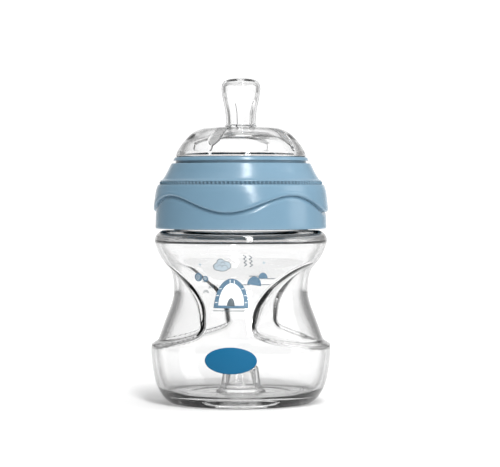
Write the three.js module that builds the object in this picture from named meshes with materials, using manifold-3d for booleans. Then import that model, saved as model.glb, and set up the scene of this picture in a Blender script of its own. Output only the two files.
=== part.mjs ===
// Wide-neck baby bottle: a clear waisted bottle, a blue screw collar of three mouldings and a silicone teat.
// Millimetres, +Z up. The origin is the middle of the foot on the table, and the printed front looks along -Y.
import * as THREE from 'three';
import { mergeVertices } from 'three/addons/utils/BufferGeometryUtils.js';
import Module from 'manifold-3d';

const wasm = await Module();
wasm.setup();

// Driving dimensions
const TOTAL_HEIGHT = 135;
const BELLY_RADIUS = 37.4;
const WAIST_RADIUS = 29.5;
const SHOULDER_RADIUS = 35.9;
const WALL = 2;
const NECK_RADIUS = 27.5;
const NECK_TOP = 93;
const COLLAR_RADIUS = 36.3;
const COLLAR_BOTTOM = 72.6;
const SKIRT_TOP = 91;
const RIM_TOP = 103.3;
const GAP = 0.3;

// Bottle
const FOOT_INNER = 26.4;
const FOOT_OUTER = 29;
const FLOOR_UNDERSIDE = 1.4;
const FLOOR_TOP = 4.4;
const CONE_TOP = 15.6;
const CONE_TOP_RADIUS = 6.6;
const CONE_FOOT_RADIUS = 8.8;
const GRIP_BOTTOM = 25.2;
const GRIP_TOP = 59.5;

// Screw thread, two starts
const LEAD = 8;
const STARTS = 2;
const THREAD_DEPTH = 1.3;
const THREAD_ROOT_WIDTH = 1.9;
const THREAD_CREST_WIDTH = 1;
const THREAD_TURNS = 0.8;
const THREAD_FOOT = 78.6;

// Collar
const SLEEVE_BORE = NECK_RADIUS + THREAD_DEPTH + GAP;
const SLEEVE_RADIUS = 30.9;
const BAND_FOOT_RADIUS = 33;
const BAND_TOP_RADIUS = 28.8;
const BAND_TOP = 100;
const TOOTH_COUNT = 120;
const TOOTH_HEIGHT = 0.35;
const WAVE_COUNT = 4;
const WAVE_MIDDLE = 83.2;
const WAVE_SWING = 3.4;
const WAVE_STEP = 0.45;

// Teat
const TEAT_OPENING = 26.6;
const FLANGE_RADIUS = 28.8;
const FLANGE_BOTTOM = NECK_TOP + GAP;
const FLANGE_TOP = 95;
const RIB_HEIGHT = 0.9;
const RIB_ROOT = 0.5;
const RIB_ANGLES = [69, 159, 249, 339];
const FEED_HOLE_RADIUS = 0.5;

// Facets round the axis
const AROUND = 44;
const TEAT_AROUND = 32;

const v2 = (r, z) => new THREE.Vector2(r, z);
const spline = (points, steps) => new THREE.SplineCurve(points).getPoints(steps);

function arc(centreR, centreZ, radius, fromDegrees, toDegrees, steps) {
  const points = [];
  for (let i = 0; i <= steps; i++) {
    const angle = THREE.MathUtils.degToRad(fromDegrees + ((toDegrees - fromDegrees) * i) / steps);
    points.push(v2(centreR + radius * Math.cos(angle), centreZ + radius * Math.sin(angle)));
  }
  return points;
}

// Moves each point of an open profile sideways, towards the axis for a positive distance on a rising profile.
function offset(points, distance) {
  return points.map((point, i) => {
    const before = points[Math.max(i - 1, 0)];
    const after = points[Math.min(i + 1, points.length - 1)];
    const along = after.clone().sub(before).normalize();
    return v2(point.x - along.y * distance, point.y + along.x * distance);
  });
}

// Solids

function toSolid(geometry) {
  const bare = geometry.clone();
  bare.deleteAttribute('normal');
  bare.deleteAttribute('uv');
  const merged = mergeVertices(bare, 1e-4);
  return new wasm.Manifold(new wasm.Mesh({
    numProp: 3,
    vertProperties: merged.attributes.position.array,
    triVerts: new Uint32Array(merged.index.array),
  }));
}

function toGeometry(solid) {
  const mesh = solid.getMesh();
  const geometry = new THREE.BufferGeometry();
  geometry.setAttribute('position', new THREE.BufferAttribute(new Float32Array(mesh.vertProperties), 3));
  geometry.setIndex(new THREE.BufferAttribute(new Uint32Array(mesh.triVerts), 1));
  geometry.computeVertexNormals();
  return geometry;
}

// A profile from the axis, round the outside and back to the axis, turned about Z. It starts at the lowest point.
function turned(points, segments = AROUND) {
  const lathe = new THREE.LatheGeometry(points, segments);
  lathe.rotateX(Math.PI / 2);
  return toSolid(lathe);
}

// A closed grid of rows, each row one loop of points, joined row to row. Its last row meets the first if it is a
// ring, and otherwise its two ends are filled.
function gridSolid(rows, isRing) {
  const count = rows[0].length;
  const indices = [];
  const spans = isRing ? rows.length : rows.length - 1;
  for (let i = 0; i < spans; i++) {
    const here = i * count;
    const next = ((i + 1) % rows.length) * count;
    for (let j = 0; j < count; j++) {
      const k = (j + 1) % count;
      indices.push(here + j, next + j, next + k, here + j, next + k, here + k);
    }
  }
  if (!isRing) {
    const last = (rows.length - 1) * count;
    for (let j = 1; j < count - 1; j++) {
      indices.push(0, j, j + 1, last, last + j + 1, last + j);
    }
  }
  const geometry = new THREE.BufferGeometry().setFromPoints(rows.flat());
  geometry.setIndex(indices);
  return toSolid(geometry);
}

const onAngle = (r, angle, z) => new THREE.Vector3(r * Math.sin(angle), -r * Math.cos(angle), z);

// A ring whose section, listed anticlockwise in (radius, z), may change with the angle from the front.
function ringSolid(sectionAt, segments = AROUND) {
  const rows = [];
  for (let i = 0; i < segments; i++) {
    const angle = (2 * Math.PI * i) / segments;
    rows.push(sectionAt(angle).map((point) => onAngle(point.x, angle, point.y)));
  }
  return gridSolid(rows, true);
}

// One start of a thread: a tapered ridge that climbs by LEAD each turn. side is 1 on a neck and -1 in a nut.
function threadRidge(rootRadius, side, startAngle, startHeight) {
  const steps = Math.round(THREAD_TURNS * AROUND);
  const runOut = 3;
  const rows = [];
  for (let i = 0; i <= steps; i++) {
    const angle = startAngle + (2 * Math.PI * i) / AROUND;
    const z = startHeight + (LEAD * i) / AROUND;
    const share = Math.min(1, (Math.min(i, steps - i) + 0.4) / runOut);
    const root = rootRadius - side * 0.6;
    const crest = rootRadius + side * THREAD_DEPTH * share;
    const section = [
      [root, -THREAD_ROOT_WIDTH / 2],
      [crest, -THREAD_CREST_WIDTH / 2],
      [crest, THREAD_CREST_WIDTH / 2],
      [root, THREAD_ROOT_WIDTH / 2],
    ];
    if (side < 0) section.reverse();
    rows.push(section.map(([r, dz]) => onAngle(r, angle, z + dz)));
  }
  return gridSolid(rows, false);
}

function withThread(solid, rootRadius, side, startHeight) {
  let made = solid;
  for (let start = 0; start < STARTS; start++) {
    made = made.add(threadRidge(rootRadius, side, (2 * Math.PI * start) / STARTS, startHeight));
  }
  return made;
}

// Bottle

// The outside of the bottle from its foot to the root of the neck.
function wallProfile() {
  const belly = spline([
    v2(FOOT_OUTER, 0),
    v2(32.5, 3),
    v2(35.7, 9.4),
    v2(BELLY_RADIUS, 20),
    v2(36.9, 28),
    v2(34.9, 35.8),
    v2(31.2, 43.2),
    v2(WAIST_RADIUS, 50.5),
    v2(31.4, 57.4),
    v2(34.3, 62.4),
    v2(SHOULDER_RADIUS, 67.2),
  ], 15);
  const shoulder = arc(SHOULDER_RADIUS - 4.4, 67.6, 4.4, 10, 90, 4);
  return [...belly, ...shoulder];
}

// The floor of a finger grip, which is deepest at the waist and ends on the ledge above the belly.
function gripProfile() {
  return spline([
    v2(35.6, GRIP_BOTTOM - 2.4),
    v2(34.9, GRIP_BOTTOM),
    v2(31.9, 33.6),
    v2(28.6, 42.6),
    v2(28, 48.8),
    v2(29.2, 55),
    v2(32.6, GRIP_TOP),
    v2(36, GRIP_TOP + 5),
  ], 9);
}

// Half the angle, in degrees, that a grip covers at each height: broad and round below, narrowing to its top.
const GRIP_OUTLINE = spline([
  v2(4, GRIP_BOTTOM - 0.2),
  v2(46, 26.6),
  v2(64.5, 29.8),
  v2(73, 32.6),
  v2(75.2, 35),
  v2(72.4, 38.4),
  v2(64.4, 43.2),
  v2(50, 49.5),
  v2(30, 55.4),
  v2(4, GRIP_TOP),
], 13);

// What is cut away for one grip, reaching from the grip's floor to outside the bottle. grow widens it.
function gripCutter(sideAngle, floor, grow) {
  const inside = 20;
  const outside = 42;
  const columns = 10;
  const middle = (GRIP_BOTTOM + GRIP_TOP) / 2;
  const rows = GRIP_OUTLINE.map((point) => {
    const half = THREE.MathUtils.degToRad(point.x + grow * 2);
    const z = point.y + (point.y > middle ? grow : -grow);
    const row = [];
    for (let i = 0; i <= columns; i++) {
      row.push(onAngle(inside, sideAngle - half + (2 * half * i) / columns, z));
    }
    for (let i = columns; i >= 0; i--) {
      row.push(onAngle(outside, sideAngle - half + (2 * half * i) / columns, z));
    }
    return row;
  });
  return gridSolid(rows, false).subtract(floor);
}

function hollowedByGrips(form, floorPoints, grow) {
  const top = floorPoints[floorPoints.length - 1];
  const floor = turned([v2(0, floorPoints[0].y), ...floorPoints, v2(0, top.y)]);
  let made = form;
  for (const sideAngle of [Math.PI / 2, -Math.PI / 2]) {
    made = made.subtract(gripCutter(sideAngle, floor, grow));
  }
  return made;
}

function bottleBody() {
  const outside = wallProfile();
  const underside = [
    v2(0, CONE_TOP - WALL),
    v2(CONE_TOP_RADIUS - WALL, CONE_TOP - WALL),
    v2(CONE_FOOT_RADIUS - WALL, FLOOR_UNDERSIDE),
    v2(FOOT_INNER - 1, FLOOR_UNDERSIDE),
    v2(FOOT_INNER, 0),
  ];
  const neck = [
    v2(NECK_RADIUS, 73.2),
    v2(NECK_RADIUS, NECK_TOP),
    v2(0, NECK_TOP),
  ];
  const outer = hollowedByGrips(turned([...underside, ...outside, ...neck]), gripProfile(), 0);

  const lining = offset(outside, WALL).filter((point) => point.y > FLOOR_TOP + 1 && point.y < 69.8);
  const inner = turned([
    v2(0, CONE_TOP),
    v2(CONE_TOP_RADIUS - 0.8, CONE_TOP),
    v2(CONE_TOP_RADIUS, CONE_TOP - 0.8),
    v2(CONE_FOOT_RADIUS, FLOOR_TOP),
    v2(28, FLOOR_TOP),
    ...lining,
    v2(NECK_RADIUS - WALL - 0.4, 71),
    v2(NECK_RADIUS - WALL - 0.4, NECK_TOP + 1),
    v2(0, NECK_TOP + 1),
  ]);
  const cavity = hollowedByGrips(inner, offset(gripProfile(), WALL), WALL * 0.8);
  return withThread(outer.subtract(cavity), NECK_RADIUS, 1, THREAD_FOOT);
}

// Collar

// The saw-edged flange that locks the screw ring into the skirt.
function toothedFlange() {
  const shape = new THREE.Shape();
  const root = BAND_FOOT_RADIUS + 0.15;
  for (let i = 0; i < 2 * TOOTH_COUNT; i++) {
    const angle = (Math.PI * i) / TOOTH_COUNT;
    const r = root + (i % 2 ? 0.55 : 0);
    shape[i ? 'lineTo' : 'moveTo'](r * Math.cos(angle), r * Math.sin(angle));
  }
  const hole = new THREE.Path().absarc(0, 0, SLEEVE_RADIUS - 0.6, 0, 2 * Math.PI, true);
  shape.holes.push(hole);
  const flange = new THREE.ExtrudeGeometry(shape, { depth: 2 * TOOTH_HEIGHT, bevelEnabled: false, curveSegments: AROUND });
  flange.translate(0, 0, SKIRT_TOP + 0.1);
  return toSolid(flange);
}

function screwRing() {
  const bandFoot = SKIRT_TOP + 0.1 + TOOTH_HEIGHT;
  const clampUnderside = FLANGE_TOP + GAP;
  const section = [
    v2(SLEEVE_BORE, COLLAR_BOTTOM + 2.4),
    v2(SLEEVE_RADIUS, COLLAR_BOTTOM + 2.4),
    v2(SLEEVE_RADIUS, bandFoot),
    v2(BAND_FOOT_RADIUS, bandFoot),
    v2(BAND_FOOT_RADIUS - 0.6, bandFoot + 1.1),
    v2(BAND_TOP_RADIUS, BAND_TOP),
    v2(NECK_RADIUS + 0.5, BAND_TOP),
    v2(NECK_RADIUS + 0.5, clampUnderside + 1.4),
    v2(TEAT_OPENING, clampUnderside + 1.4),
    v2(TEAT_OPENING, clampUnderside),
    v2(SLEEVE_BORE, clampUnderside),
  ];
  const ring = ringSolid(() => section).add(toothedFlange());
  return withThread(ring, SLEEVE_BORE, -1, THREAD_FOOT + LEAD / STARTS / 2);
}

const waveHeight = (angle) => WAVE_MIDDLE - WAVE_SWING * Math.cos(WAVE_COUNT * angle);

// The skirt, a double wall: the outer one carries the wave, and the inner one sits on the screw ring's sleeve.
function gripSkirt() {
  const bore = SLEEVE_RADIUS + GAP;
  const lower = COLLAR_RADIUS - WAVE_STEP;
  return ringSolid((angle) => {
    const wave = waveHeight(angle);
    return [
      v2(bore, SKIRT_TOP - 9),
      v2(bore + 1.4, SKIRT_TOP - 9),
      v2(bore + 1.4, SKIRT_TOP - 2),
      v2(BAND_FOOT_RADIUS, SKIRT_TOP - 3),
      v2(COLLAR_RADIUS - 2.4, WAVE_MIDDLE),
      v2(COLLAR_RADIUS - 2.2, COLLAR_BOTTOM),
      v2(lower, COLLAR_BOTTOM),
      v2(lower, wave - 0.5),
      v2(COLLAR_RADIUS - 0.02 * (wave - 79.8) ** 2, wave + 0.1),
      v2(COLLAR_RADIUS - 0.95, 87.9),
      v2(COLLAR_RADIUS - 1.6, SKIRT_TOP - 0.5),
      v2(COLLAR_RADIUS - 2.1, SKIRT_TOP - 0.1),
      v2(bore, SKIRT_TOP - 0.1),
    ];
  });
}

// The rim presses into the screw ring's mouth and leaves a shadow gap above the band.
function rimRing() {
  const spigot = NECK_RADIUS + 0.5 - GAP;
  const section = [
    v2(TEAT_OPENING, 98.2),
    v2(spigot, 98.2),
    v2(spigot, BAND_TOP + 0.5),
    v2(BAND_TOP_RADIUS - 0.3, BAND_TOP + 0.7),
    v2(27.6, RIM_TOP - 0.3),
    v2(27.3, RIM_TOP),
    v2(TEAT_OPENING, RIM_TOP),
  ];
  return ringSolid(() => section);
}

// Teat

function teatOutside() {
  const opening = TEAT_OPENING - GAP;
  const dome = spline([
    v2(26.9, RIM_TOP + GAP),
    v2(26.2, 105.2),
    v2(24.1, 108.3),
    v2(20.6, 112),
    v2(16.4, 114.2),
    v2(11, 114.9),
    v2(7.6, 115.2),
  ], 9);
  const shaft = spline([v2(6.2, 116.4), v2(6.6, 121.4), v2(7.6, 126.8), v2(8.1, 130.2)], 5);
  const tip = spline([v2(7.9, 132.4), v2(6.6, 134.1), v2(3.6, TOTAL_HEIGHT - 0.1), v2(0, TOTAL_HEIGHT)], 4);
  return [
    v2(0, FLANGE_BOTTOM),
    v2(FLANGE_RADIUS, FLANGE_BOTTOM),
    v2(FLANGE_RADIUS, FLANGE_TOP),
    v2(opening, FLANGE_TOP),
    v2(opening, RIM_TOP + GAP),
    ...dome,
    ...shaft,
    ...tip,
  ];
}

// The hollow inside the teat, shrunk by inset where the ribs stand.
function teatHollow(inset) {
  const dome = spline([v2(24.4, 104), v2(22.3, 107.6), v2(19.2, 110.4), v2(15.6, 112.2), v2(10.6, 113), v2(6.4, 113.4)], 6);
  const shaft = spline([v2(4.7, 116), v2(5, 121.4), v2(6, 126.8), v2(6.4, 130.2), v2(5.2, 132.4), v2(0, 133.4)], 7);
  const open = [v2(0, FLANGE_BOTTOM - 1), v2(24.4, FLANGE_BOTTOM - 1), v2(24.4, 96)];
  const wall = offset([...dome, ...shaft.slice(0, -1)], inset);
  return turned([...open, ...wall, v2(0, 133.4 - inset)], TEAT_AROUND);
}

// The plan of one rib: a slim stem up the shaft that broadens into a round-ended pad under the dome.
function ribPlan(angleDegrees) {
  const shape = new THREE.Shape();
  shape.moveTo(2, -1);
  shape.lineTo(6, -1);
  shape.lineTo(13, -2.4);
  shape.lineTo(21.4, -2.4);
  shape.absarc(21.4, 0, 2.4, -Math.PI / 2, Math.PI / 2, false);
  shape.lineTo(13, 2.4);
  shape.lineTo(6, 1);
  shape.lineTo(2, 1);
  const prism = new THREE.ExtrudeGeometry(shape, { depth: 20, bevelEnabled: false, curveSegments: 6 });
  prism.translate(0, 0, 105);
  prism.rotateZ(THREE.MathUtils.degToRad(angleDegrees));
  return toSolid(prism);
}

function teat() {
  const hollow = teatHollow(0);
  const ribSpace = teatHollow(-RIB_ROOT).subtract(teatHollow(RIB_HEIGHT));
  let made = turned(teatOutside(), TEAT_AROUND).subtract(hollow);
  for (const angle of RIB_ANGLES) made = made.add(ribSpace.intersect(ribPlan(angle)));
  const drill = new THREE.CylinderGeometry(FEED_HOLE_RADIUS, FEED_HOLE_RADIUS, 6, 8);
  drill.rotateX(Math.PI / 2);
  drill.translate(0, 0, TOTAL_HEIGHT - 1);
  return made.subtract(toSolid(drill));
}

// Assembly

function clearPlastic() {
  return new THREE.MeshStandardMaterial({
    color: '#eef2f4', roughness: 0.05, metalness: 0, transparent: true, opacity: 0.35,
  });
}

function bluePlastic() {
  return new THREE.MeshStandardMaterial({ color: '#8fb4ce', roughness: 0.25, metalness: 0 });
}

function clearSilicone() {
  return new THREE.MeshStandardMaterial({
    color: '#f4f4f2', roughness: 0.2, metalness: 0, transparent: true, opacity: 0.5,
  });
}

const bottle = new THREE.Group();

function addPart(name, solid, material) {
  const mesh = new THREE.Mesh(toGeometry(solid), material);
  mesh.name = name;
  bottle.add(mesh);
}

addPart('bottle_body', bottleBody(), clearPlastic());
addPart('screw_ring', screwRing(), bluePlastic());
addPart('grip_skirt', gripSkirt(), bluePlastic());
addPart('rim_ring', rimRing(), bluePlastic());
addPart('teat', teat(), clearSilicone());

export default bottle;
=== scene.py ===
"""Wide-neck baby bottle: a clear waisted bottle, a blue screw collar of three mouldings and a silicone teat.

Sizes in this file are millimetres unless a name or comment says otherwise, and the stage is in metres.
Blender works in metres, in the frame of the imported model: +Z up, the middle of the foot at the origin, and
the printed front looking along -Y. An angle round the bottle is 0 at the front and grows towards +X.
"""

import math

import bmesh
import bpy
import numpy as np
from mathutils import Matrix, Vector


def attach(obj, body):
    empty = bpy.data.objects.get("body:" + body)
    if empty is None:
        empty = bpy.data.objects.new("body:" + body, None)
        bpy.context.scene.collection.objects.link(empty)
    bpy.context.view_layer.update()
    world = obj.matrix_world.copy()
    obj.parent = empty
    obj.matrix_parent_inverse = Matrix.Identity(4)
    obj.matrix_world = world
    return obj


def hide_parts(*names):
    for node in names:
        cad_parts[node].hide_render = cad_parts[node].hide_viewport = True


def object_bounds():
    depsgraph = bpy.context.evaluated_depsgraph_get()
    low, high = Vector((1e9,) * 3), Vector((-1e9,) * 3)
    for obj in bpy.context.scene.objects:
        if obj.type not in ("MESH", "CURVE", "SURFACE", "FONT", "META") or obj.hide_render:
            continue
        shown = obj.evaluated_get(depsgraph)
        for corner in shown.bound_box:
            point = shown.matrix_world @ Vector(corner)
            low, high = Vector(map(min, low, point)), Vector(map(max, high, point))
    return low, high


bl_info = {
    "name": "Wide-neck baby bottle",
    "version": (1, 0, 0),
    "blender": (4, 5, 0),
    "location": "View3D > Sidebar > Bottle",
    "description": "Builds a clear feeding bottle with a blue screw collar and a silicone teat",
    "category": "Add Mesh",
}

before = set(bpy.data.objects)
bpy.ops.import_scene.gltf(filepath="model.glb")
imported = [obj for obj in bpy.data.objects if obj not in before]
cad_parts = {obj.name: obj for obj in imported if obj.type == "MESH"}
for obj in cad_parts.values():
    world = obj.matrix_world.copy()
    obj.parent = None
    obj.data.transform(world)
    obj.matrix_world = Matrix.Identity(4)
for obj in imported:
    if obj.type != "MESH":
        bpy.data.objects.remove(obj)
CAD_LOW, CAD_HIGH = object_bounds()
TOTAL_HEIGHT = CAD_HIGH.z * 1000
MM = 0.001


# ---------------------------------------------------------------- sizes and colours


def linear(hex_colour):
    """An sRGB hex colour as linear red, green, blue and alpha."""
    channels = [int(hex_colour[i : i + 2], 16) / 255 for i in (1, 3, 5)]
    return tuple(c / 12.92 if c <= 0.04045 else ((c + 0.055) / 1.055) ** 2.4 for c in channels) + (1.0,)


def length_setting(name, description, mm, most_mm):
    """A length that a user can change. Blender keeps it in metres."""
    return bpy.props.FloatProperty(
        name=name,
        description=description,
        default=mm * MM,
        min=0.0,
        max=most_mm * MM,
        precision=5,
        unit="LENGTH",
    )


def colour_setting(name, description, hex_colour):
    """A colour that a user can change. Blender keeps it linear."""
    return bpy.props.FloatVectorProperty(
        name=name,
        description=description,
        default=linear(hex_colour),
        size=4,
        min=0.0,
        max=1.0,
        subtype="COLOR",
    )


class BottleSizes(bpy.types.PropertyGroup):
    """Sizes of the clear bottle."""

    wall: length_setting("Wall", "Thickness of the bottle's wall", 2.0, 4.0)
    grip_edge: length_setting("Grip edge", "Width of the rounded step round a finger grip", 2.2, 6.0)
    thread_depth: length_setting("Thread depth", "Height of the neck's thread", 1.3, 3.0)


class CollarSizes(bpy.types.PropertyGroup):
    """Sizes of the screw collar."""

    wave_swing: length_setting("Wave swing", "Height of the wave above and below its middle", 3.4, 6.0)
    wave_step: length_setting("Wave step", "How far the upper layer stands proud of the lower one", 1.0, 1.5)
    tooth_depth: length_setting("Tooth depth", "Depth of the fine teeth on the seam", 1.3, 2.0)


class TeatSizes(bpy.types.PropertyGroup):
    """Sizes of the silicone teat."""

    rib_height: length_setting("Rib height", "How far a rib stands inside the teat", 0.6, 2.0)
    feed_hole: length_setting("Feed hole", "Radius of the hole in the tip", 0.5, 1.5)


class Colours(bpy.types.PropertyGroup):
    """Colours of the plastics and the printing inks."""

    collar: colour_setting("Collar", "Blue of the collar's three mouldings", "#69889C")
    clear: colour_setting("Bottle", "Tint of the clear plastic", "#F4F4F4")
    silicone: colour_setting("Teat", "Tint of the clear silicone", "#FEFEFE")
    slate: colour_setting("Slate ink", "Main ink of the printed scene", "#4C6F87")
    pale: colour_setting("Pale ink", "Ink of the cloud and the stars", "#B2C1CB")
    snow: colour_setting("White ink", "Ink of the snow and the blocks", "#F7F9FA")
    ink: colour_setting("Dark ink", "Ink of the thin lines", "#4C5961")
    teal: colour_setting("Teal ink", "Ink of the plain oval", "#005C84")


def in_mm(settings, name):
    """A length setting of the scene, in millimetres."""
    return getattr(getattr(bpy.context.scene, settings), name) / MM


def tint(name):
    """A colour setting of the scene."""
    return tuple(getattr(bpy.context.scene.bottle_colours, name))


# ---------------------------------------------------------------- profiles


def curve_through(points, steps):
    """A smooth line through the points, each (radius, height)."""
    line = []
    last = len(points) - 1
    for i in range(steps + 1):
        place = last * i / steps
        k = min(int(place), last - 1)
        t = place - k
        p0, p1, p2, p3 = (points[min(max(k + d, 0), last)] for d in (-1, 0, 1, 2))
        point = []
        for a, b, c, d in zip(p0, p1, p2, p3):
            bend = (2 * a - 5 * b + 4 * c - d) * t**2
            twist = (3 * b - a - 3 * c + d) * t**3
            point.append(0.5 * ((2 * b) + (c - a) * t + bend + twist))
        line.append(tuple(point))
    return line


def rounded(corners, steps=3):
    """A line with rounded corners. Each corner is (radius, height, how far the rounding reaches)."""
    line = []
    last = len(corners) - 1
    for i, (r, z, reach) in enumerate(corners):
        if reach == 0 or i in (0, last):
            line.append((r, z))
            continue
        here = Vector((r, z))
        before = Vector(corners[i - 1][:2]) - here
        after = Vector(corners[i + 1][:2]) - here
        start = here + before.normalized() * min(reach, before.length * 0.49)
        end = here + after.normalized() * min(reach, after.length * 0.49)
        for k in range(steps + 1):
            t = k / steps
            point = start * (1 - t) ** 2 + here * 2 * t * (1 - t) + end * t**2
            line.append((point.x, point.y))
    return line


def arc(centre_r, centre_z, radius, from_deg, to_deg, steps):
    angles = (math.radians(from_deg + (to_deg - from_deg) * i / steps) for i in range(steps + 1))
    return [(centre_r + radius * math.cos(a), centre_z + radius * math.sin(a)) for a in angles]


def offset(points, distance):
    """The line moved sideways, towards the axis for a positive distance on a rising line."""
    moved = []
    for i, (r, z) in enumerate(points):
        before = points[max(i - 1, 0)]
        after = points[min(i + 1, len(points) - 1)]
        along = Vector((after[0] - before[0], after[1] - before[1])).normalized()
        moved.append((r - along.y * distance, z + along.x * distance))
    return moved


def spaced(points, gap):
    """The line with points added so that no two are further apart than the gap."""
    line = [points[0]]
    for (r0, z0), (r1, z1) in zip(points, points[1:]):
        pieces = max(1, math.ceil(math.hypot(r1 - r0, z1 - z0) / gap))
        line += [(r0 + (r1 - r0) * k / pieces, z0 + (z1 - z0) * k / pieces) for k in range(1, pieces + 1)]
    return line


def radius_at(points, z):
    """The radius of a rising line at a height or an array of heights."""
    rising = sorted(points, key=lambda point: point[1])
    return np.interp(z, [p[1] for p in rising], [p[0] for p in rising])


def smooth_step(low, high, value):
    share = np.clip((value - low) / (high - low), 0, 1)
    return share * share * (3 - 2 * share)


# ---------------------------------------------------------------- meshes


def piece_from(name, verts, faces, material, body):
    """A mesh object in metres from points in millimetres, smooth shaded and riding on a body of the frame."""
    mesh = bpy.data.meshes.new(name)
    mesh.from_pydata([(x * MM, y * MM, z * MM) for x, y, z in verts], [], faces)
    made = bmesh.new()
    made.from_mesh(mesh)
    bmesh.ops.remove_doubles(made, verts=made.verts, dist=1e-7)
    bmesh.ops.dissolve_degenerate(made, edges=made.edges, dist=1e-8)
    bmesh.ops.recalc_face_normals(made, faces=made.faces)
    made.to_mesh(mesh)
    made.free()
    mesh.polygons.foreach_set("use_smooth", [True] * len(mesh.polygons))
    mesh.materials.append(material)
    piece = bpy.data.objects.new(name, mesh)
    bpy.context.scene.collection.objects.link(piece)
    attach(piece, body)
    return piece


def revolved(name, section_at, segments, material, body):
    """A closed ring-shaped piece. section_at(angle) gives its closed section as (radius, height) points."""
    rows = []
    for i in range(segments):
        angle = 2 * math.pi * i / segments
        rows.append([(r * math.sin(angle), -r * math.cos(angle), z) for r, z in section_at(angle)])
    count = len(rows[0])
    faces = []
    for i in range(segments):
        here = i * count
        there = ((i + 1) % segments) * count
        for j in range(count):
            k = (j + 1) % count
            faces.append((here + j, there + j, there + k, here + k))
    return piece_from(name, [point for row in rows for point in row], faces, material, body)


# ---------------------------------------------------------------- the clear bottle

NECK_RADIUS = 27.5
NECK_TOP = 93.0
NECK_BORE = 25.1
FLOOR_TOP = 4.4
CONE_TOP = 15.6
THREAD_FOOT = 78.6
THREAD_LEAD = 8.0
THREAD_STARTS = 2
THREAD_TURNS = 0.8

# Each end of a thread fades out over this angle, in radians. Its ridge is flat near the middle and slopes
# down to its root.
THREAD_RUN_OUT = 0.35
RIDGE_FLAT_HALF = 0.45
RIDGE_ROOT_HALF = 1.0

# The outside from the foot's edge to the root of the neck.
WALL_LINE = curve_through(
    [
        (29.0, 0.0), (32.5, 3.0), (35.7, 9.4), (37.4, 20.0), (36.9, 28.0), (34.9, 35.8),
        (31.2, 43.2), (29.5, 50.5), (31.4, 57.4), (34.3, 62.4), (35.9, 67.2),
    ],
    120,
)
SHOULDER_LINE = arc(31.5, 67.6, 4.4, 10, 90, 10)

# The floor of a finger grip, deepest at the waist.
GRIP_LINE = curve_through(
    [
        (36.4, 20.5), (35.6, 22.8), (34.9, 25.2), (31.9, 33.6), (28.6, 42.6), (28.0, 48.8), (29.2, 55.0),
        (32.6, 59.5), (36.0, 64.5),
    ],
    80,
)

# Half the angle in degrees that a grip covers, against height: round and broad below, narrow at its top.
GRIP_OUTLINE = curve_through(
    [
        (0.0, 25.6), (30.0, 26.2), (52.0, 28.0), (66.0, 30.2), (70.0, 32.0), (69.6, 34.6), (67.0, 38.4),
        (61.5, 43.2), (49.0, 49.5), (30.0, 55.4), (0.0, 59.8),
    ],
    90,
)


def wall_radius(z):
    return radius_at(WALL_LINE, z)


def inside_grip(angle, z):
    """Millimetres inside the outline of the nearer grip, measured over the surface, for arrays of points."""
    turn = np.abs((np.degrees(angle) + 180) % 360 - 180)
    from_side = np.abs(turn - 90)
    x = np.radians(from_side) * wall_radius(z)
    outline = [(math.radians(half) * float(wall_radius(height)), height) for half, height in GRIP_OUTLINE]
    nearest = np.full(x.shape, 1e6)
    for (x0, z0), (x1, z1) in zip(outline, outline[1:]):
        dx, dz = x1 - x0, z1 - z0
        share = np.clip(((x - x0) * dx + (z - z0) * dz) / (dx * dx + dz * dz), 0, 1)
        nearest = np.minimum(nearest, np.hypot(x - x0 - share * dx, z - z0 - share * dz))
    reach = np.interp(z, [point[1] for point in outline], [point[0] for point in outline], left=-1, right=-1)
    return np.where(x < reach, nearest, -nearest)


def with_grips(r, angle, z, floor_line, grow):
    """Radii with the two finger grips pressed in."""
    edge = in_mm("bottle_sizes", "grip_edge")
    depth = np.maximum(r - radius_at(floor_line, z), 0)
    pressed = smooth_step(-0.6 * edge, 0.4 * edge, inside_grip(angle, z) + grow)
    return r - depth * pressed


def thread_rise(angle, z, first_start):
    """How far the thread stands out, from 0 to 1, at an angle and an array of heights."""
    rise = np.zeros_like(z)
    full_turn = 2 * math.pi
    for start in range(THREAD_STARTS):
        climbed = (angle - full_turn * start / THREAD_STARTS) % full_turn
        if climbed > THREAD_TURNS * full_turn:
            continue
        middle = first_start + THREAD_LEAD * climbed / full_turn
        run_out = min(1.0, min(climbed, THREAD_TURNS * full_turn - climbed) / THREAD_RUN_OUT)
        ridge = 1 - smooth_step(RIDGE_FLAT_HALF, RIDGE_ROOT_HALF, np.abs(z - middle))
        rise = np.maximum(rise, ridge * run_out)
    return rise


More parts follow.
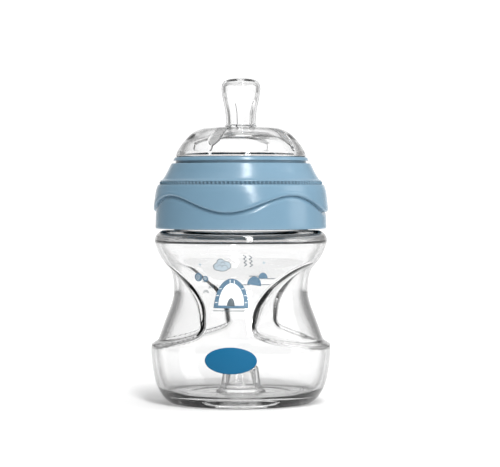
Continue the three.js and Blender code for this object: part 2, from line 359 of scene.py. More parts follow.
def bottle_section(angle, outer_wall, inner_wall):
    """The bottle's closed section at one angle, given its two wall lines there."""
    underside = rounded(
        [
            (0.0, CONE_TOP - 2, 0), (4.6, CONE_TOP - 2, 0.8), (5.4, 7.8, 0.2),
            (6.1, 7.6, 0.2), (6.2, 5.8, 0.2), (6.9, 5.6, 0.2), (7.0, 3.8, 0.2), (7.8, 3.4, 0.3),
            (9.4, 1.4, 0.5), (12.6, 1.4, 0.2),
            (12.9, 1.8, 0.2), (15.6, 1.8, 0.2), (15.9, 1.4, 0.2), (19.0, 1.4, 0.2), (19.3, 1.8, 0.2),
            (21.4, 1.8, 0.2), (21.7, 1.4, 0.2), (25.0, 1.4, 0.8), (26.2, 0.0, 0.5), (28.2, 0.0, 0.6),
            (29.4, 0.3, 0.4), outer_wall[0] + (0,),
        ]
    )
    neck = [(NECK_RADIUS + 0.5, 72.0), (NECK_RADIUS, 72.6), (NECK_RADIUS, 75.0)]
    heights = np.arange(76.0, 92.2, 0.36)
    rise = thread_rise(angle, heights, THREAD_FOOT) * in_mm("bottle_sizes", "thread_depth")
    neck += [(NECK_RADIUS + float(up), float(z)) for z, up in zip(heights, rise)]
    lip = rounded(
        [
            (NECK_RADIUS, 92.3, 0), (NECK_RADIUS, NECK_TOP, 0.5), (NECK_BORE, NECK_TOP, 0.5),
            (NECK_BORE, 70.6, 4.0), (inner_wall[-1][0], inner_wall[-1][1], 0),
        ],
        4,
    )
    floor = rounded(
        [
            inner_wall[0] + (0,), (30.7, FLOOR_TOP + 0.1, 1.6), (26.0, FLOOR_TOP, 2.5),
            (20.9, FLOOR_TOP, 0.2), (20.5, FLOOR_TOP - 0.4, 0.2), (10.4, FLOOR_TOP - 0.4, 0.3),
            (10.0, 5.4, 0.3), (9.2, 5.6, 0.2), (9.0, 7.0, 0.2), (8.4, 7.2, 0.3),
            (7.2, CONE_TOP - 0.6, 0.5), (6.4, CONE_TOP, 0.5), (0.0, CONE_TOP, 0),
        ]
    )
    return underside[:-1] + outer_wall + SHOULDER_LINE + neck + lip[:-1] + inner_wall[::-1] + floor[1:]


def make_bottle(material):
    segments = 320
    wall = in_mm("bottle_sizes", "wall")
    angles = 2 * np.pi * np.arange(segments) / segments
    outer_rows = spaced([p for p in WALL_LINE if p[1] >= 0.5], 0.9)
    lining = offset(WALL_LINE + SHOULDER_LINE[1:8], wall)
    lining_rows = spaced([p for p in lining if 6.8 < p[1]], 1.1)
    grip_lining = offset(GRIP_LINE, wall)

    def walls(rows, floor_line, grow):
        r, a = np.meshgrid([p[0] for p in rows], angles)
        z, _ = np.meshgrid([p[1] for p in rows], angles)
        return with_grips(r, a, z, floor_line, grow), z

    outer_r, outer_z = walls(outer_rows, GRIP_LINE, 0.0)
    inner_r, inner_z = walls(lining_rows, grip_lining, wall * 0.5)

    def section_at(angle):
        i = round(angle / (2 * math.pi) * segments)
        outer = list(zip(outer_r[i].tolist(), outer_z[i].tolist()))
        inner = list(zip(inner_r[i].tolist(), inner_z[i].tolist()))
        return bottle_section(angle, outer, inner)

    bottle = revolved("bottle_clear", section_at, segments, material, "bottle")
    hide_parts("bottle_body")
    return bottle


# ---------------------------------------------------------------- the print on the bottle


PRINT_ASIDE = 0.7


def on_bottle(across, z, proud):
    """A point on the bottle's front. across is measured over the surface from the middle of the print."""
    r = float(wall_radius(z))
    angle = (across + PRINT_ASIDE) / r
    return ((r + proud) * math.sin(angle), -(r + proud) * math.cos(angle), z)


def ink_patch(outline, step=0.7):
    """Vertices and faces of a filled outline, cut fine enough to lie on the bottle's curve."""
    flat = bmesh.new()
    corners = [flat.verts.new((x, z, 0)) for x, z in outline]
    flat.faces.new(corners)
    low_x, high_x = min(p[0] for p in outline), max(p[0] for p in outline)
    low_z, high_z = min(p[1] for p in outline), max(p[1] for p in outline)
    for axis, low, high in ((0, low_x, high_x), (1, low_z, high_z)):
        cut = low + step
        while cut < high:
            point = (cut, 0, 0) if axis == 0 else (0, cut, 0)
            normal = (1, 0, 0) if axis == 0 else (0, 1, 0)
            everything = flat.verts[:] + flat.edges[:] + flat.faces[:]
            bmesh.ops.bisect_plane(flat, geom=everything, plane_co=point, plane_no=normal)
            cut += step
    bmesh.ops.triangulate(flat, faces=flat.faces)
    flat.verts.index_update()
    points = [(v.co.x, v.co.y) for v in flat.verts]
    faces = [tuple(v.index for v in f.verts) for f in flat.faces]
    flat.free()
    return points, faces


def stroke(points, width):
    """The outline of a pen stroke along a line of points."""
    left, right = [], []
    for i, (x, z) in enumerate(points):
        before = points[max(i - 1, 0)]
        after = points[min(i + 1, len(points) - 1)]
        along = Vector((after[0] - before[0], after[1] - before[1])).normalized()
        left.append((x - along.y * width / 2, z + along.x * width / 2))
        right.append((x + along.y * width / 2, z - along.x * width / 2))
    return left + right[::-1]


def ellipse(x, z, half_width, half_height, steps=28):
    turns = (2 * math.pi * i / steps for i in range(steps))
    return [(x + half_width * math.cos(t), z + half_height * math.sin(t)) for t in turns]


def dome(x, z, half_width, height, steps=16):
    """A half disc standing on a line."""
    turns = (math.pi * i / steps for i in range(steps + 1))
    return [(x + half_width * math.cos(t), z + height * math.sin(t)) for t in turns]


def turned_by(outline, x, z, degrees):
    c, s = math.cos(math.radians(degrees)), math.sin(math.radians(degrees))
    return [(x + (px - x) * c - (pz - z) * s, z + (px - x) * s + (pz - z) * c) for px, pz in outline]


def print_piece(name, outlines, material, layer):
    """One ink of the print: thin patches that lie on the bottle. A higher layer lies on a lower one."""
    ink = 0.02
    proud = 0.03 + layer * 0.03
    verts, faces = [], []
    for outline in outlines:
        points, triangles = ink_patch(outline)
        base = len(verts)
        count = len(points)
        verts += [on_bottle(x, z, proud + ink) for x, z in points]
        verts += [on_bottle(x, z, proud) for x, z in points]
        faces += [tuple(base + k for k in triangle) for triangle in triangles]
        faces += [tuple(base + count + k for k in reversed(triangle)) for triangle in triangles]
        edges = {}
        for triangle in triangles:
            for a, b in zip(triangle, triangle[1:] + triangle[:1]):
                edges[(a, b)] = edges.get((a, b), 0) + 1
        for a, b in edges:
            if (b, a) not in edges:
                faces.append((base + b, base + a, base + count + a, base + count + b))
    piece = piece_from(name, verts, faces, material, "bottle")
    return piece


def cloud_outline():
    """The edge round four overlapping lobes: the furthest lobe in each direction from their middle."""
    lobes = [(-3.0, 57.2, 1.5, 1.3), (-1.2, 58.8, 1.7, 1.6), (0.9, 57.8, 1.8, 1.5), (-0.9, 56.4, 2.2, 1.0)]
    middle_x, middle_z = -0.8, 57.5
    steps = 60
    outline = []
    for k in range(steps):
        turn = 2 * math.pi * k / steps
        reach = 0
        for x, z, half_width, half_height in lobes:
            for t in np.linspace(0, 2 * math.pi, 40):
                px = x + half_width * math.cos(t) - middle_x
                pz = z + half_height * math.sin(t) - middle_z
                if abs(math.remainder(math.atan2(pz, px) - turn, 2 * math.pi)) < 0.09:
                    reach = max(reach, math.hypot(px, pz))
        outline.append((-3.2 + reach * math.cos(turn), 58.0 + reach * math.sin(turn)))
    return outline


def zigzag(x, z, length, degrees, waves, swing, width):
    """The pen strokes of a short zigzag line."""
    points = []
    for i in range(2 * waves + 1):
        side = swing if i % 2 else -swing
        points.append((x + side, z - length / 2 + length * i / (2 * waves)))
    turned = turned_by(points, x, z, degrees)
    return [stroke([a, b], width) for a, b in zip(turned, turned[1:])]


def curl(x, z, radius, turns, width):
    """A pen stroke that winds outwards. Half a turn of even radius is a small arch."""
    steps = 20
    points = []
    for i in range(steps + 1):
        angle = 2 * math.pi * turns * i / steps
        reach = radius * (1.0 if turns <= 0.5 else i / steps)
        points.append((x + reach * math.cos(angle), z + reach * math.sin(angle)))
    return stroke(points, width)


def star(x, z, reach):
    """A small star with four points."""
    corners = []
    for i in range(8):
        length = reach if i % 2 == 0 else reach * 0.35
        corners.append((x + length * math.cos(i * math.pi / 4), z + length * math.sin(i * math.pi / 4)))
    return corners


def make_print(inks):
    """A small snowy scene in four inks and a plain oval below it."""
    hut_x, hut_z = 0.3, 41.0
    hut = dome(hut_x, hut_z, 7.1, 11.9, 26)
    hut_inside = dome(hut_x, hut_z + 1.1, 5.2, 8.9, 26)
    slate = [
        hut,
        ellipse(-14.2, 53.3, 1.9, 1.75),
        ellipse(-10.9, 52.7, 1.3, 1.2),
        turned_by(dome(9.4, 50.2, 2.9, 3.6), 9.4, 50.2, -8),
        dome(13.2, 52.8, 2.0, 2.5),
    ]
    pale = [cloud_outline(), star(-12.9, 58.5, 0.9), star(13.9, 59.3, 0.9)]
    blocks = []
    for z, half in ((43.2, 6.1), (46.0, 5.7), (48.7, 4.6)):
        for side in (-1, 1):
            x = hut_x + side * half
            blocks.append(stroke([(x - 0.55, z), (x + 0.55, z + 0.15)], 0.28))
    blocks += [curl(-14.2, 53.3, 1.3, 1.8, 0.13), curl(-10.9, 52.7, 0.8, 1.5, 0.12)]
    blocks.append(stroke([(hut_x - 0.6, 50.6), (hut_x - 0.6, 52.4)], 0.28))
    blocks.append(stroke([(hut_x + 1.2, 50.5), (hut_x + 1.1, 52.1)], 0.28))
    lines = [
        stroke([(-6.8, 40.0), (8.0, 40.0)], 0.26),
        stroke([(4.2, 50.4), (7.4, 50.4)], 0.28),
        stroke([(12.0, 50.4), (16.0, 50.4)], 0.28),
        stroke([(7.4, 53.9), (11.4, 53.9)], 0.28),
        stroke([(14.9, 52.8), (18.4, 52.8)], 0.28),
        stroke([(-12.4, 51.4), (-9.2, 51.4)], 0.24),
    ]
    lines += zigzag(6.3, 60.2, 4.6, 0, 3, 0.6, 0.3) + zigzag(8.6, 60.0, 4.6, 0, 3, 0.6, 0.3)
    lines += [curl(x, z, size, 0.5, 0.24) for x, z in ((-8.2, 48.8), (-10.6, 47.0)) for size in (0.6, 1.1)]
    cloud = cloud_outline()
    lines.append(stroke(cloud + cloud[:1], 0.18))
    puffs = ((-4.2, 57.6, 0.9), (-2.2, 57.2, 1.2), (-2.8, 58.9, 0.8))
    lines += [curl(x, z, size, 0.5, 0.14) for x, z, size in puffs]
    door = dome(hut_x, hut_z + 0.9, 1.6, 3.2, 14)
    print_piece("print_slate", slate, inks["slate"], 0)
    print_piece("print_pale", pale, inks["pale"], 0)
    print_piece("print_snow", [hut_inside] + blocks, inks["snow"], 1)
    print_piece("print_lines", lines + [door], inks["ink"], 2)
    print_piece("print_oval", [ellipse(1.1, 20.2, 10.7, 5.4, 48)], inks["teal"], 0)


# ---------------------------------------------------------------- the collar

COLLAR_RADIUS = 36.3
COLLAR_BOTTOM = 72.6
SLEEVE_BORE = 29.1
SLEEVE_RADIUS = 30.9
BAND_TOP = 99.7
RIM_TOP = 102.3
TEAT_OPENING = 26.6
TOOTH_COUNT = 120
TOOTH_ROOT = 32.5
WAVE_COUNT = 4
WAVE_MIDDLE = 83.2


def make_screw_ring(material):
    """The threaded sleeve, the band above the seam and the fine teeth between them."""
    depth = in_mm("collar_sizes", "tooth_depth")
    thread_depth = in_mm("bottle_sizes", "thread_depth")

    def section_at(angle):
        share = (angle / (2 * math.pi) * TOOTH_COUNT) % 1
        tooth = TOOTH_ROOT + depth * (1 - abs(2 * share - 1))
        outside = rounded(
            [
                (SLEEVE_RADIUS, 75.0, 0), (SLEEVE_RADIUS, 90.9, 0), (tooth, 90.9, 0.1), (tooth, 92.0, 0.1),
                (33.5, 92.1, 0.1), (33.6, 92.5, 0.2), (32.5, 93.0, 0.5), (30.8, 95.8, 1.0),
                (28.9, BAND_TOP, 0.3), (27.6, BAND_TOP, 0),
            ]
        )
        inside = rounded(
            [
                (27.6, BAND_TOP, 0), (27.6, 96.7, 0), (TEAT_OPENING, 96.7, 0.3), (TEAT_OPENING, 95.3, 0.3),
                (SLEEVE_BORE, 95.3, 0.2), (SLEEVE_BORE, 94.0, 0),
            ]
        )
        heights = np.arange(93.6, 76.4, -0.36)
        rise = thread_rise(angle, heights, THREAD_FOOT + THREAD_LEAD / THREAD_STARTS / 2)
        bore = [(SLEEVE_BORE - thread_depth * float(up), float(z)) for z, up in zip(heights, rise)]
        return outside[:-1] + inside + bore + [(SLEEVE_BORE, 75.4), (SLEEVE_BORE + 0.3, 75.0)]

    ring = revolved("screw_ring_band", section_at, TOOTH_COUNT * 4, material, "collar")
    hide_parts("screw_ring")
    return ring


def make_grip_skirt(material):
    """The skirt: its upper layer ends in a wave and stands proud of the lower one."""
    swing = in_mm("collar_sizes", "wave_swing")
    bore = SLEEVE_RADIUS + 0.3
    lower = COLLAR_RADIUS - in_mm("collar_sizes", "wave_step")

    def section_at(angle):
        wave = WAVE_MIDDLE - swing * math.cos(WAVE_COUNT * angle)
        bulge = COLLAR_RADIUS - 0.012 * (wave - 80.5) ** 2
        return rounded(
            [
                (bore, 82.0, 0), (bore + 1.4, 82.0, 0.3), (bore + 1.4, 89.0, 0.3), (33.0, 88.0, 0.5),
                (33.5, WAVE_MIDDLE, 1.0), (34.1, 73.4, 0.3), (34.3, COLLAR_BOTTOM, 0.3),
                (35.5, COLLAR_BOTTOM, 0.4), (lower + 0.3, COLLAR_BOTTOM + 0.8, 0.5),
                (lower + 0.15, wave - 1.9, 1.0), (lower - 0.9, wave - 0.4, 0.1),
                (bulge - 0.3, wave - 0.2, 0.15), (bulge, wave + 0.25, 0.2),
                (bulge - 0.02, wave + 1.2, 0.5), (COLLAR_RADIUS - 0.85, 88.1, 1.0),
                (COLLAR_RADIUS - 1.5, 90.2, 0.5), (COLLAR_RADIUS - 1.9, 90.9, 0.3), (34.1, 90.9, 0.1),
                (34.0, 90.3, 0.2), (bore + 0.3, 90.3, 0.2), (bore, 90.0, 0),
            ],
            4,
        )

    skirt = revolved("grip_skirt_wave", section_at, 288, material, "collar")
    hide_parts("grip_skirt")
    return skirt


def make_rim(material):
    section = rounded(
        [
            (TEAT_OPENING, 98.2, 0), (27.2, 98.2, 0.1), (27.2, 100.9, 0.1), (28.2, 100.8, 0.15),
            (27.9, 101.5, 0.3), (27.6, RIM_TOP - 0.2, 0.4), (27.1, RIM_TOP, 0.3),
            (TEAT_OPENING, RIM_TOP, 0.2), (TEAT_OPENING, 102.5, 0),
        ],
        4,
    )
    rim = revolved("rim_ring_top", lambda angle: section, 192, material, "collar")
    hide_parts("rim_ring")
    return rim


# ---------------------------------------------------------------- the teat

# Where the ribs stand, in degrees round the teat.
RIB_ANGLES = (69, 159, 249, 339)

# The heights between which the ribs' tops take the finish of a ground mould face.
MATT_FROM = 104.6
MATT_TO = 113.2

FLANGE_BOTTOM = 93.3
FLANGE_TOP = 95.0
TEAT_BORE = 24.4

TEAT_OUTSIDE = (
    curve_through(
        [
            (27.1, 102.8), (26.2, 105.2), (24.1, 108.3), (20.6, 112.0), (16.4, 114.1), (11.0, 114.7),
            (6.9, 114.9),
        ],
        44,
    )
    + curve_through([(6.1, 116.0), (6.5, 121.4), (7.6, 126.8), (8.1, 130.2), (8.0, 131.8)], 30)
    + curve_through([(7.8, 132.6), (6.8, 134.0), (4.4, 134.8), (0.9, 135.0)], 14)
)
TEAT_INSIDE = (
    curve_through(
        [(24.4, 104.0), (22.3, 107.6), (19.2, 110.4), (15.6, 112.2), (10.6, 113.0), (6.4, 113.4)],
        60,
    )
    + curve_through(
        [
            (4.6, 115.8), (5.0, 121.4), (6.1, 126.8), (6.7, 130.2), (6.5, 132.0), (5.0, 133.3),
            (0.8, 133.8),
        ],
        52,
    )
)


def rib_half_width(r, z):
    """Half a rib's width: slim up the shaft, a round-ended pad under the dome, a thin stem at its foot."""
    shaft_foot, taper_start, shaft_end, slim = 115.0, 120, 126.0, 1.1
    if z > shaft_foot:
        return slim * math.sqrt(max(0.0, 1 - max(0.0, (z - taper_start) / (shaft_end - taper_start)) ** 2))
    stem, pad, pad_end = 0.5, 2.5, 20.6
    if r > pad_end:
        return max(stem, math.sqrt(max(0.0, pad**2 - (r - pad_end) ** 2)))
    return slim + (pad - slim) * float(smooth_step(7.0, 12.0, r))


def teat_inside_at(angle):
    """The inner surface with its ribs, which are half as high up the shaft and fade out near its top."""
    height = in_mm("teat_sizes", "rib_height")
    line = []
    lifted = offset(TEAT_INSIDE, height)
    for (r, z), (lifted_r, lifted_z) in zip(TEAT_INSIDE, lifted):
        rise = 0.0
        for rib in RIB_ANGLES:
            turn = math.remainder(angle - math.radians(rib), 2 * math.pi)
            if abs(turn) < 1.2:
                away = r * abs(math.sin(turn)) - rib_half_width(r, z)
                onto_shaft = 0.5 * float(smooth_step(113.0, 117.0, z))
                off_its_top = 0.5 * float(smooth_step(124.0, 126.5, z))
                top = 1 - onto_shaft - off_its_top
                foot = float(smooth_step(104.0, 105.2, z))
                rise = max(rise, (1 - float(smooth_step(-0.35, 0.15, away))) * top * foot)
        line.append((r + (lifted_r - r) * rise, z + (lifted_z - z) * rise))
    return line


def make_teat(material, rib_material):
    opening = TEAT_OPENING - 0.3
    hole = in_mm("teat_sizes", "feed_hole")
    flange = rounded(
        [
            (TEAT_BORE, FLANGE_BOTTOM, 0), (28.8, FLANGE_BOTTOM, 0.4), (28.8, FLANGE_TOP, 0.4),
            (opening, FLANGE_TOP, 0.3), (opening, 102.2, 0.3), (27.1, 102.6, 0.2), TEAT_OUTSIDE[1] + (0,),
        ]
    )
    tip = [(hole, TOTAL_HEIGHT - 0.1), (hole, 134.0)]
    lining = [p for p in offset(TEAT_INSIDE, in_mm("teat_sizes", "rib_height") * 0.8) if p[1] < 113.4]

    def section_at(angle):
        inside = teat_inside_at(angle)
        return flange[:-1] + TEAT_OUTSIDE[1:] + tip + inside[::-1] + [(TEAT_BORE, 100.0), (TEAT_BORE, 96.0)]

    teat = revolved("teat_silicone", section_at, 384, material, "teat")
    teat.data.materials.append(rib_material)
    for face in teat.data.polygons:
        x, y, z = (v / MM for v in face.center)
        on_rib = math.hypot(x, y) < float(np.interp(z, [p[1] for p in lining], [p[0] for p in lining]))
        if MATT_FROM < z < MATT_TO and on_rib:
            face.material_index = 1
    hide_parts("teat")
    return teat


# ---------------------------------------------------------------- materials


def add_node(tree, kind, settings=None, links=None):
    """Adds a node. settings are its properties or input values. links join its inputs to other outputs."""
    node = tree.nodes.new(kind)
    for name, value in (settings or {}).items():
        if name in node.inputs:
            node.inputs[name].default_value = value
        else:
            setattr(node, name, value)
    for name, output in (links or {}).items():
        tree.links.new(output, node.inputs[name])
    return node


def new_material(name, settings, depth_loss=0.0):
    """A material with one Principled shader, whose even values are set on the shader itself.

    depth_loss is the share of light that a clear material takes up in 10 mm.
    """
    material = bpy.data.materials.new(name)
    material.use_nodes = True
    tree = material.node_tree
    tree.nodes.clear()
    shader = add_node(tree, "ShaderNodeBsdfPrincipled", settings)
    output = add_node(tree, "ShaderNodeOutputMaterial")
    tree.links.new(shader.outputs["BSDF"], output.inputs["Surface"])
    if depth_loss:
        taken = add_node(
            tree,
            "ShaderNodeVolumeAbsorption",
            {"Color": (0.0, 0.0, 0.0, 1.0), "Density": -math.log(1 - depth_loss) / (10 * MM)},
        )
        tree.links.new(taken.outputs["Volume"], output.inputs["Volume"])
    return material, tree, shader


def moulded_bump(tree, shader, size_mm, depth_mm, detail=2.0):
    """A faint unevenness of the surface, with its size and depth in millimetres."""
    place = add_node(tree, "ShaderNodeTexCoord")
    noise = add_node(
        tree,
        "ShaderNodeTexNoise",
        {"Scale": 1000 / size_mm, "Detail": detail},
        {"Vector": place.outputs["Object"]},
    )
    bump = add_node(
        tree, "ShaderNodeBump", {"Strength": 1.0, "Distance": depth_mm * MM}, {"Height": noise.outputs["Fac"]}
    )
    tree.links.new(bump.outputs["Normal"], shader.inputs["Normal"])
    return noise


def painted_edge_shade(tree, shader, colour, rise_at, edge):
    """Painted shade: the colour of clear plastic is painted greyer where it is seen nearly edge-on, standing
    in for the dark edges that refraction of darker surroundings gives.

    rise_at is how far the surface has turned away where the painted grey starts. edge is the share of the
    colour that is left at the end.
    """
    blend_width = 0.17
    slant = add_node(tree, "ShaderNodeLayerWeight", {"Blend": 0.5})
    shades = add_node(tree, "ShaderNodeValToRGB", links={"Fac": slant.outputs["Facing"]})
    stops = shades.color_ramp.elements
    stops[0].position = rise_at
    stops[0].color = colour
    stops[1].position = rise_at + blend_width
    stops[1].color = tuple(c * edge for c in colour[:3]) + (1.0,)
    tree.links.new(shades.outputs["Color"], shader.inputs["Base Color"])


def clear_copolyester():
    """Blow-moulded copolyester: glass-clear, with slow ripples where the wall's thickness varies."""
    material, tree, shader = new_material(
        "Clear copolyester, blow-moulded",
        {"Roughness": 0.0, "IOR": 1.54, "Transmission Weight": 1.0},
        depth_loss=0.03,
    )
    # Painted shade: the plastic's colour is painted grey where it is seen edge-on.
    painted_edge_shade(tree, shader, tint("clear"), 0.57, 0.18)
    moulded_bump(tree, shader, 18.0, 0.05, 1.0)
    return material


def clear_silicone():
    """Liquid silicone rubber, moulded: clear but slightly milky, with a soft gloss."""
    material, tree, shader = new_material(
        "Clear silicone rubber, moulded",
        {"Roughness": 0.03, "IOR": 1.41, "Transmission Weight": 1.0},
        depth_loss=0.06,
    )
    # Painted shade: the silicone's colour is painted grey where it is seen edge-on.
    painted_edge_shade(tree, shader, tint("silicone"), 0.6, 0.4)
    moulded_bump(tree, shader, 9.0, 0.03, 2.0)
    return material


def matt_silicone():
    """The same rubber from the ground faces of the mould: it blurs and greys what lies behind a rib."""
    material, tree, shader = new_material(
        "Clear silicone rubber, ground mould face",
        {"Base Color": tint("silicone"), "Roughness": 0.6, "IOR": 1.41, "Transmission Weight": 1.0},
        depth_loss=0.15,
    )
    moulded_bump(tree, shader, 0.6, 0.01, 2.0)
    return material


def blue_polypropylene():
    """Polypropylene from a polished mould: an even colour, a clean gloss and faint flow marks."""
    material, tree, shader = new_material(
        "Blue polypropylene, injection-moulded", {"Roughness": 0.22, "IOR": 1.49}
    )
    noise = moulded_bump(tree, shader, 6.0, 0.008, 3.0)
    base = tint("collar")
    shades = add_node(tree, "ShaderNodeValToRGB", links={"Fac": noise.outputs["Fac"]})
    shades.color_ramp.elements[0].position = 0.3
    shades.color_ramp.elements[0].color = tuple(c * 0.97 for c in base[:3]) + (1.0,)
    shades.color_ramp.elements[1].position = 0.7
    shades.color_ramp.elements[1].color = base
    tree.links.new(shades.outputs["Color"], shader.inputs["Base Color"])
    return material


def screen_ink(name, base, spread=0.12):
    """Screen-printed ink: a thin satin film whose colour thins a little between the mesh's threads."""
    material, tree, shader = new_material(name, {"Roughness": 0.5, "IOR": 1.33})
    noise = moulded_bump(tree, shader, 0.5, 0.004, 2.0)
    shades = add_node(tree, "ShaderNodeValToRGB", links={"Fac": noise.outputs["Fac"]})
    shades.color_ramp.elements[0].position = 0.35
    shades.color_ramp.elements[0].color = base
    shades.color_ramp.elements[1].position = 0.75
    shades.color_ramp.elements[1].color = tuple(c + (1 - c) * spread for c in base[:3]) + (1.0,)
    tree.links.new(shades.outputs["Color"], shader.inputs["Base Color"])
    return material


# ---------------------------------------------------------------- the stage, in metres

CAMERA_TURN = 9.2
CAMERA_DISTANCE = 0.9
CAMERA_HEIGHT = 0.0887
CAMERA_LENS_MM = 155.5
CAMERA_SENSOR_MM = 36

# The point that the camera looks at: its height, and how far it is to the right of the bottle's axis.
AIM_HEIGHT = 0.0705
AIM_BESIDE = 0.0038

FLOOR_HALF = 1.8

# Half the width of the floor's white strip of painted glow and lighter painted colour, where it starts to
# fade and where it has gone.
STRIP_FULL = 0.28
STRIP_GONE = 1.0

# How strongly the floor's painted glow shines at each distance from the bottle's axis: a painted pool of
# light under the bottle, a dim ring round the foot as a painted contact shadow, and brighter again further
# out.
FLOOR_GLOW = ((0.021, 1.0), (0.029, 0.1), (0.042, 0.05), (0.15, 0.26), (0.5, 0.4))
GLOW_AT_AXIS = 1.0
GLOW_FAR_OUT = 0.45


def grey(level):
    """An even grey, as linear red, green, blue and alpha."""
    return (level, level, level, 1.0)


def camera_spot(height):
    """The camera's place at a height. It stands a little to the right of the bottle's front."""
    turn = math.radians(CAMERA_TURN)
    return Vector((CAMERA_DISTANCE * math.sin(turn), -CAMERA_DISTANCE * math.cos(turn), height))


def turned_towards(tree, place, towards, low, high, dark, bright):
    """A value that goes from dark to bright as a direction turns towards the given one.

    low and high are how closely the two have to agree for it to start and to finish, up to 1.
    """
    facing = add_node(tree, "ShaderNodeVectorMath", {"operation": "DOT_PRODUCT"})
    tree.links.new(place, facing.inputs[0])
    facing.inputs[1].default_value = Vector(towards).normalized()
    rise = {"From Min": low, "From Max": high, "To Min": dark, "To Max": bright}
    node = add_node(tree, "ShaderNodeMapRange", {"interpolation_type": "SMOOTHSTEP"} | rise)
    tree.links.new(facing.outputs["Value"], node.inputs["Value"])
    return node.outputs["Result"]


def combined(tree, operation, first, second):
    node = add_node(tree, "ShaderNodeMath", {"operation": operation})
    tree.links.new(first, node.inputs[0])
    tree.links.new(second, node.inputs[1])
    return node.outputs["Value"]


def make_floor():
    """A sheet of white acrylic with painted light: it glows, though no lamp lies under it.

    Its painted glow is brightest in a small disc under the middle of the bottle, a painted pool of light, and
    dim round the foot, a painted contact shadow. From there it brightens again along a broad strip that runs
    towards the camera and away behind the bottle. Off the strip the sheet's colour is painted darker, as
    painted shade.
    """
    mesh = bpy.data.meshes.new("floor")
    made = bmesh.new()
    bmesh.ops.create_grid(made, x_segments=8, y_segments=8, size=FLOOR_HALF)
    made.to_mesh(mesh)
    made.free()
    floor = bpy.data.objects.new("floor", mesh)
    bpy.context.scene.collection.objects.link(floor)
    # Painted light and shade: the floor's glow and its darker colour off the strip are painted.
    material, tree, shader = new_material(
        "White acrylic, lit from below",
        {"Roughness": 0.8, "IOR": 1.3, "Emission Color": grey(1.0)},
    )
    place = add_node(tree, "ShaderNodeTexCoord").outputs["Object"]
    turn = math.radians(CAMERA_TURN)
    aside = add_node(tree, "ShaderNodeVectorMath", {"operation": "DOT_PRODUCT"})
    tree.links.new(place, aside.inputs[0])
    aside.inputs[1].default_value = (math.cos(turn), math.sin(turn), 0.0)
    width = add_node(tree, "ShaderNodeMath", {"operation": "ABSOLUTE"})
    tree.links.new(aside.outputs["Value"], width.inputs[0])
    fade = {"From Min": STRIP_FULL, "From Max": STRIP_GONE, "To Min": 1.0, "To Max": 0.0}
    strip = add_node(
        tree,
        "ShaderNodeMapRange",
        {"interpolation_type": "SMOOTHSTEP"} | fade,
        {"Value": width.outputs["Value"]},
    ).outputs["Result"]
    # Painted light: rings of glow by distance from the axis, with a dim ring round the foot for a painted
    # contact shadow.
    away = add_node(tree, "ShaderNodeVectorMath", {"operation": "LENGTH"}, {"Vector": place})
    share = add_node(tree, "ShaderNodeMapRange", {"From Max": 1.0}, {"Value": away.outputs["Value"]})
    painted_glow_rings = add_node(tree, "ShaderNodeValToRGB", links={"Fac": share.outputs["Result"]})
    ring = painted_glow_rings.color_ramp
    ring.interpolation = "EASE"
    for position, level in FLOOR_GLOW:
        ring.elements.new(position).color = grey(level)
    ring.elements[0].color = grey(GLOW_AT_AXIS)
    ring.elements[-1].color = grey(GLOW_FAR_OUT)
    # Painted shade: the floor's colour is painted darker off the strip.
    sheet = add_node(tree, "ShaderNodeValToRGB", links={"Fac": strip})
    sheet.color_ramp.elements[0].color = grey(0.35)
    sheet.color_ramp.elements[1].color = grey(0.8)
    tree.links.new(sheet.outputs["Color"], shader.inputs["Base Color"])
    # Painted light: the floor glows by the strip times the painted rings, though it is no lamp.
    glow = combined(tree, "MULTIPLY", strip, painted_glow_rings.outputs["Color"])
    tree.links.new(glow, shader.inputs["Emission Strength"])
    mesh.materials.append(material)


def make_world():
    """Studio walls: a white one behind, a white ceiling, grey sides and a darker patch on the left."""
    world = bpy.data.worlds.new("Studio")
    bpy.context.scene.world = world
    world.use_nodes = True
    tree = world.node_tree
    tree.nodes.clear()
    place = add_node(tree, "ShaderNodeTexCoord").outputs["Generated"]
    behind = turned_towards(tree, place, -camera_spot(0), low=0.84, high=0.975, dark=0.42, bright=1.12)
    ceiling = turned_towards(tree, place, (0.1, 0.1, 1.0), low=0.3, high=0.85, dark=0.3, bright=1.1)
    patch = turned_towards(tree, place, (-0.9, -0.45, 0.0), low=0.35, high=0.8, dark=1.0, bright=0.3)
    walls = combined(tree, "MULTIPLY", combined(tree, "MAXIMUM", behind, ceiling), patch)
    light = add_node(tree, "ShaderNodeBackground", {"Color": grey(1.0)}, {"Strength": walls})
    output = add_node(tree, "ShaderNodeOutputWorld")
    tree.links.new(light.outputs["Background"], output.inputs["Surface"])


def soft_light(name, turn, height, distance, width, tall, power):
    """A soft box that faces the middle of the bottle. turn is in degrees round it, and power in watts."""
    middle = Vector((0, 0, 0.07))
    angle = math.radians(turn)
    light = bpy.data.lights.new(name, "AREA")
    light.shape = "RECTANGLE"
    light.size = width
    light.size_y = tall
    light.energy = power
    box = bpy.data.objects.new(name, light)
    box.location = (distance * math.sin(angle), -distance * math.cos(angle), height)
    box.rotation_euler = (middle - box.location).to_track_quat("-Z", "Y").to_euler()
    bpy.context.scene.collection.objects.link(box)


def make_lights():
    """A tall narrow key light for the streak on the collar, and a broad one at the side and one above."""
    soft_light("key_light", turn=22.5, height=1.18, distance=1.2, width=0.22, tall=1.5, power=25)
    soft_light("side_light", turn=92, height=0.5, distance=1.4, width=0.8, tall=1.2, power=7)
    soft_light("top_light", turn=0, height=1.6, distance=0.2, width=1.2, tall=1.2, power=1)


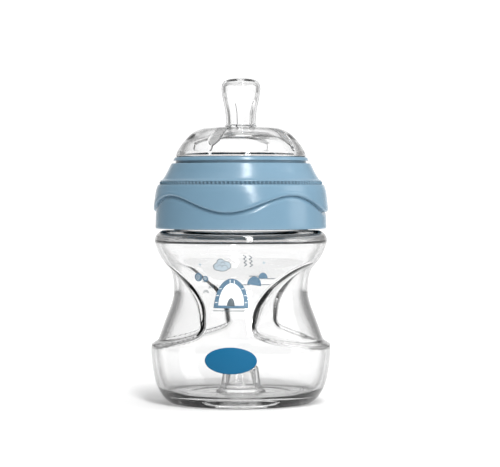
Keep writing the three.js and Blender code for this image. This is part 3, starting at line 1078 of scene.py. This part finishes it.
def make_camera():
    """A long lens a little to the right of the front, level with the collar."""
    turn = math.radians(CAMERA_TURN)
    camera = bpy.data.cameras.new("camera")
    camera.lens = CAMERA_LENS_MM
    camera.sensor_width = CAMERA_SENSOR_MM
    camera.clip_start = 0.05
    camera.clip_end = 50
    stand = bpy.data.objects.new("camera", camera)
    stand.location = camera_spot(CAMERA_HEIGHT)
    target = Vector((AIM_BESIDE * math.cos(turn), AIM_BESIDE * math.sin(turn), AIM_HEIGHT))
    stand.rotation_euler = (target - stand.location).to_track_quat("-Z", "Y").to_euler()
    bpy.context.scene.collection.objects.link(stand)
    bpy.context.scene.camera = stand


# ---------------------------------------------------------------- operators


class BottleOperator:
    """What every operator here shares."""

    bl_options = {"REGISTER", "UNDO"}


class BOTTLE_OT_clear_bottle(BottleOperator, bpy.types.Operator):
    """Builds the clear bottle with its finger grips, thread and hollow foot."""

    bl_idname = "bottle.clear_bottle"
    bl_label = "Clear bottle"

    def execute(self, context):
        make_bottle(clear_copolyester())
        return {"FINISHED"}


class BOTTLE_OT_print(BottleOperator, bpy.types.Operator):
    """Prints the small snowy scene and the plain oval on the bottle's front."""

    bl_idname = "bottle.print"
    bl_label = "Print"

    def execute(self, context):
        make_print(
            {
                "slate": screen_ink("Slate screen ink", tint("slate")),
                "pale": screen_ink("Pale screen ink", tint("pale"), 0.18),
                "snow": screen_ink("White screen ink", tint("snow"), 0.0),
                "ink": screen_ink("Dark screen ink", tint("ink")),
                "teal": screen_ink("Teal screen ink", tint("teal"), 0.0),
            }
        )
        return {"FINISHED"}


class BOTTLE_OT_collar(BottleOperator, bpy.types.Operator):
    """Builds the collar's three mouldings: the screw ring, the waved skirt and the rim."""

    bl_idname = "bottle.collar"
    bl_label = "Collar"

    def execute(self, context):
        blue = blue_polypropylene()
        make_screw_ring(blue)
        make_grip_skirt(blue)
        make_rim(blue)
        return {"FINISHED"}


class BOTTLE_OT_teat(BottleOperator, bpy.types.Operator):
    """Builds the silicone teat with its ribs and feed hole."""

    bl_idname = "bottle.teat"
    bl_label = "Teat"

    def execute(self, context):
        make_teat(clear_silicone(), matt_silicone())
        return {"FINISHED"}


class BOTTLE_OT_stage(BottleOperator, bpy.types.Operator):
    """Lays the pale floor, lights it softly and places the camera."""

    bl_idname = "bottle.stage"
    bl_label = "Stage"

    def execute(self, context):
        make_floor()
        make_world()
        make_lights()
        make_camera()
        context.scene.view_settings.view_transform = "Standard"
        return {"FINISHED"}


# ---------------------------------------------------------------- panel and registration


class BOTTLE_PT_panel(bpy.types.Panel):
    """Lists the steps that build the bottle."""

    bl_label = "Baby bottle"
    bl_idname = "BOTTLE_PT_panel"
    bl_space_type = "VIEW_3D"
    bl_region_type = "UI"
    bl_category = "Bottle"

    def draw(self, context):
        scene = context.scene
        for settings in (scene.bottle_sizes, scene.collar_sizes, scene.teat_sizes, scene.bottle_colours):
            for name in settings.__annotations__:
                self.layout.prop(settings, name)
        for operator in OPERATORS:
            self.layout.operator(operator.bl_idname)


SETTINGS = {
    "bottle_sizes": BottleSizes,
    "collar_sizes": CollarSizes,
    "teat_sizes": TeatSizes,
    "bottle_colours": Colours,
}
OPERATORS = (
    BOTTLE_OT_clear_bottle,
    BOTTLE_OT_print,
    BOTTLE_OT_collar,
    BOTTLE_OT_teat,
    BOTTLE_OT_stage,
)


def register():
    for name, group in SETTINGS.items():
        bpy.utils.register_class(group)
        setattr(bpy.types.Scene, name, bpy.props.PointerProperty(type=group))
    for operator in OPERATORS:
        bpy.utils.register_class(operator)
    bpy.utils.register_class(BOTTLE_PT_panel)


def unregister():
    bpy.utils.unregister_class(BOTTLE_PT_panel)
    for operator in reversed(OPERATORS):
        bpy.utils.unregister_class(operator)
    for name, group in SETTINGS.items():
        delattr(bpy.types.Scene, name)
        bpy.utils.unregister_class(group)


def main():
    register()
    bpy.ops.bottle.clear_bottle()
    bpy.ops.bottle.print()
    bpy.ops.bottle.collar()
    bpy.ops.bottle.teat()
    bpy.ops.bottle.stage()


if __name__ == "__main__":
    main()
